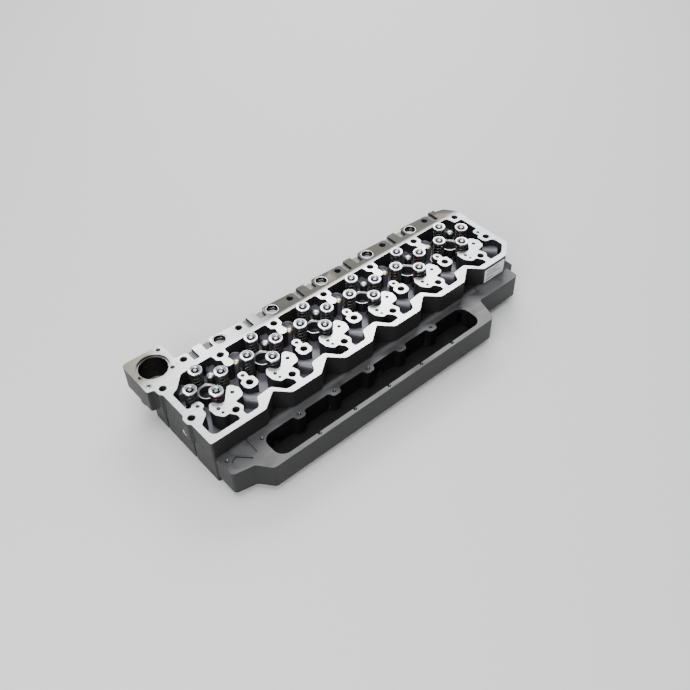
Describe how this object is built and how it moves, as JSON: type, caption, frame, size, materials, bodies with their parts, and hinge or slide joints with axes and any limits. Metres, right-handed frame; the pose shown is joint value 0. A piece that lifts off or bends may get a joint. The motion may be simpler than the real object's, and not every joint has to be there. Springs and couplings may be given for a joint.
{
  "type": "diesel engine cylinder head",
  "caption": "Cast-iron cylinder head of an inline diesel engine with a four-valve layout, open rocker box, valves and springs fitted, intake plenum and thermostat bowl cast in.",
  "frame": {"origin": "middle of the fire face, on the bore line between the third and fourth cylinders", "axes": "+X from the front (thermostat) end to the rear, +Y from the intake side to the exhaust side, +Z from the fire face to the rocker-cover deck"},
  "size_m": [0.7665, 0.3318, 0.1185],
  "materials": {
    "casting": "cast iron with a thin black coat on the walls and a bright machined deck",
    "valve": "bright ground steel retainers and valves",
    "spring": "dark oiled spring steel with a paint mark",
    "plug": "plain zinc-plated steel"
  },
  "bodies": {
    "head": {"head_casting": "casting", "core_plug_1": "plug", "core_plug_2": "plug", "core_plug_3": "plug", "core_plug_4": "plug", "core_plug_5": "plug", "rear_core_plug": "plug", "front_gallery_plug": "plug", "rear_gallery_plug": "plug", "coolant_port_plug": "plug", "intake_spring_1_front": "spring", "intake_spring_1_side": "spring", "exhaust_spring_1_side": "spring", "exhaust_spring_1_rear": "spring", "intake_spring_2_front": "spring", "intake_spring_2_side": "spring", "exhaust_spring_2_side": "spring", "exhaust_spring_2_rear": "spring", "intake_spring_3_front": "spring", "intake_spring_3_side": "spring", "exhaust_spring_3_side": "spring", "exhaust_spring_3_rear": "spring", "intake_spring_4_front": "spring", "intake_spring_4_side": "spring", "exhaust_spring_4_side": "spring", "exhaust_spring_4_rear": "spring", "intake_spring_5_front": "spring", "intake_spring_5_side": "spring", "exhaust_spring_5_side": "spring", "exhaust_spring_5_rear": "spring", "intake_spring_6_front": "spring", "intake_spring_6_side": "spring", "exhaust_spring_6_side": "spring", "exhaust_spring_6_rear": "spring"},
    "intake_valve_1_front": {"intake_valve_1_front": "valve"},
    "intake_valve_1_side": {"intake_valve_1_side": "valve"},
    "exhaust_valve_1_side": {"exhaust_valve_1_side": "valve"},
    "exhaust_valve_1_rear": {"exhaust_valve_1_rear": "valve"},
    "intake_valve_2_front": {"intake_valve_2_front": "valve"},
    "intake_valve_2_side": {"intake_valve_2_side": "valve"},
    "exhaust_valve_2_side": {"exhaust_valve_2_side": "valve"},
    "exhaust_valve_2_rear": {"exhaust_valve_2_rear": "valve"},
    "intake_valve_3_front": {"intake_valve_3_front": "valve"},
    "intake_valve_3_side": {"intake_valve_3_side": "valve"},
    "exhaust_valve_3_side": {"exhaust_valve_3_side": "valve"},
    "exhaust_valve_3_rear": {"exhaust_valve_3_rear": "valve"},
    "intake_valve_4_front": {"intake_valve_4_front": "valve"},
    "intake_valve_4_side": {"intake_valve_4_side": "valve"},
    "exhaust_valve_4_side": {"exhaust_valve_4_side": "valve"},
    "exhaust_valve_4_rear": {"exhaust_valve_4_rear": "valve"},
    "intake_valve_5_front": {"intake_valve_5_front": "valve"},
    "intake_valve_5_side": {"intake_valve_5_side": "valve"},
    "exhaust_valve_5_side": {"exhaust_valve_5_side": "valve"},
    "exhaust_valve_5_rear": {"exhaust_valve_5_rear": "valve"},
    "intake_valve_6_front": {"intake_valve_6_front": "valve"},
    "intake_valve_6_side": {"intake_valve_6_side": "valve"},
    "exhaust_valve_6_side": {"exhaust_valve_6_side": "valve"},
    "exhaust_valve_6_rear": {"exhaust_valve_6_rear": "valve"}
  },
  "joints": [
    {"name": "intake_valve_1_front_lift", "type": "slide", "parent": "head", "child": "intake_valve_1_front", "axis": [0, 0, -1], "range_m": [0, 0.0095], "stiffness_N_per_m": 800, "springref_m": -0.002, "deforming": ["intake_spring_1_front"]},
    {"name": "intake_valve_1_side_lift", "type": "slide", "parent": "head", "child": "intake_valve_1_side", "axis": [0, 0, -1], "range_m": [0, 0.0095], "stiffness_N_per_m": 800, "springref_m": -0.002, "deforming": ["intake_spring_1_side"]},
    {"name": "exhaust_valve_1_side_lift", "type": "slide", "parent": "head", "child": "exhaust_valve_1_side", "axis": [0, 0, -1], "range_m": [0, 0.0095], "stiffness_N_per_m": 800, "springref_m": -0.002, "deforming": ["exhaust_spring_1_side"]},
    {"name": "exhaust_valve_1_rear_lift", "type": "slide", "parent": "head", "child": "exhaust_valve_1_rear", "axis": [0, 0, -1], "range_m": [0, 0.0095], "stiffness_N_per_m": 800, "springref_m": -0.002, "deforming": ["exhaust_spring_1_rear"]},
    {"name": "intake_valve_2_front_lift", "type": "slide", "parent": "head", "child": "intake_valve_2_front", "axis": [0, 0, -1], "range_m": [0, 0.0095], "stiffness_N_per_m": 800, "springref_m": -0.002, "deforming": ["intake_spring_2_front"]},
    {"name": "intake_valve_2_side_lift", "type": "slide", "parent": "head", "child": "intake_valve_2_side", "axis": [0, 0, -1], "range_m": [0, 0.0095], "stiffness_N_per_m": 800, "springref_m": -0.002, "deforming": ["intake_spring_2_side"]},
    {"name": "exhaust_valve_2_side_lift", "type": "slide", "parent": "head", "child": "exhaust_valve_2_side", "axis": [0, 0, -1], "range_m": [0, 0.0095], "stiffness_N_per_m": 800, "springref_m": -0.002, "deforming": ["exhaust_spring_2_side"]},
    {"name": "exhaust_valve_2_rear_lift", "type": "slide", "parent": "head", "child": "exhaust_valve_2_rear", "axis": [0, 0, -1], "range_m": [0, 0.0095], "stiffness_N_per_m": 800, "springref_m": -0.002, "deforming": ["exhaust_spring_2_rear"]},
    {"name": "intake_valve_3_front_lift", "type": "slide", "parent": "head", "child": "intake_valve_3_front", "axis": [0, 0, -1], "range_m": [0, 0.0095], "stiffness_N_per_m": 800, "springref_m": -0.002, "deforming": ["intake_spring_3_front"]},
    {"name": "intake_valve_3_side_lift", "type": "slide", "parent": "head", "child": "intake_valve_3_side", "axis": [0, 0, -1], "range_m": [0, 0.0095], "stiffness_N_per_m": 800, "springref_m": -0.002, "deforming": ["intake_spring_3_side"]},
    {"name": "exhaust_valve_3_side_lift", "type": "slide", "parent": "head", "child": "exhaust_valve_3_side", "axis": [0, 0, -1], "range_m": [0, 0.0095], "stiffness_N_per_m": 800, "springref_m": -0.002, "deforming": ["exhaust_spring_3_side"]},
    {"name": "exhaust_valve_3_rear_lift", "type": "slide", "parent": "head", "child": "exhaust_valve_3_rear", "axis": [0, 0, -1], "range_m": [0, 0.0095], "stiffness_N_per_m": 800, "springref_m": -0.002, "deforming": ["exhaust_spring_3_rear"]},
    {"name": "intake_valve_4_front_lift", "type": "slide", "parent": "head", "child": "intake_valve_4_front", "axis": [0, 0, -1], "range_m": [0, 0.0095], "stiffness_N_per_m": 800, "springref_m": -0.002, "deforming": ["intake_spring_4_front"]},
    {"name": "intake_valve_4_side_lift", "type": "slide", "parent": "head", "child": "intake_valve_4_side", "axis": [0, 0, -1], "range_m": [0, 0.0095], "stiffness_N_per_m": 800, "springref_m": -0.002, "deforming": ["intake_spring_4_side"]},
    {"name": "exhaust_valve_4_side_lift", "type": "slide", "parent": "head", "child": "exhaust_valve_4_side", "axis": [0, 0, -1], "range_m": [0, 0.0095], "stiffness_N_per_m": 800, "springref_m": -0.002, "deforming": ["exhaust_spring_4_side"]},
    {"name": "exhaust_valve_4_rear_lift", "type": "slide", "parent": "head", "child": "exhaust_valve_4_rear", "axis": [0, 0, -1], "range_m": [0, 0.0095], "stiffness_N_per_m": 800, "springref_m": -0.002, "deforming": ["exhaust_spring_4_rear"]},
    {"name": "intake_valve_5_front_lift", "type": "slide", "parent": "head", "child": "intake_valve_5_front", "axis": [0, 0, -1], "range_m": [0, 0.0095], "stiffness_N_per_m": 800, "springref_m": -0.002, "deforming": ["intake_spring_5_front"]},
    {"name": "intake_valve_5_side_lift", "type": "slide", "parent": "head", "child": "intake_valve_5_side", "axis": [0, 0, -1], "range_m": [0, 0.0095], "stiffness_N_per_m": 800, "springref_m": -0.002, "deforming": ["intake_spring_5_side"]},
    {"name": "exhaust_valve_5_side_lift", "type": "slide", "parent": "head", "child": "exhaust_valve_5_side", "axis": [0, 0, -1], "range_m": [0, 0.0095], "stiffness_N_per_m": 800, "springref_m": -0.002, "deforming": ["exhaust_spring_5_side"]},
    {"name": "exhaust_valve_5_rear_lift", "type": "slide", "parent": "head", "child": "exhaust_valve_5_rear", "axis": [0, 0, -1], "range_m": [0, 0.0095], "stiffness_N_per_m": 800, "springref_m": -0.002, "deforming": ["exhaust_spring_5_rear"]},
    {"name": "intake_valve_6_front_lift", "type": "slide", "parent": "head", "child": "intake_valve_6_front", "axis": [0, 0, -1], "range_m": [0, 0.0095], "stiffness_N_per_m": 800, "springref_m": -0.002, "deforming": ["intake_spring_6_front"]},
    {"name": "intake_valve_6_side_lift", "type": "slide", "parent": "head", "child": "intake_valve_6_side", "axis": [0, 0, -1], "range_m": [0, 0.0095], "stiffness_N_per_m": 800, "springref_m": -0.002, "deforming": ["intake_spring_6_side"]},
    {"name": "exhaust_valve_6_side_lift", "type": "slide", "parent": "head", "child": "exhaust_valve_6_side", "axis": [0, 0, -1], "range_m": [0, 0.0095], "stiffness_N_per_m": 800, "springref_m": -0.002, "deforming": ["exhaust_spring_6_side"]},
    {"name": "exhaust_valve_6_rear_lift", "type": "slide", "parent": "head", "child": "exhaust_valve_6_rear", "axis": [0, 0, -1], "range_m": [0, 0.0095], "stiffness_N_per_m": 800, "springref_m": -0.002, "deforming": ["exhaust_spring_6_rear"]}
  ]
}
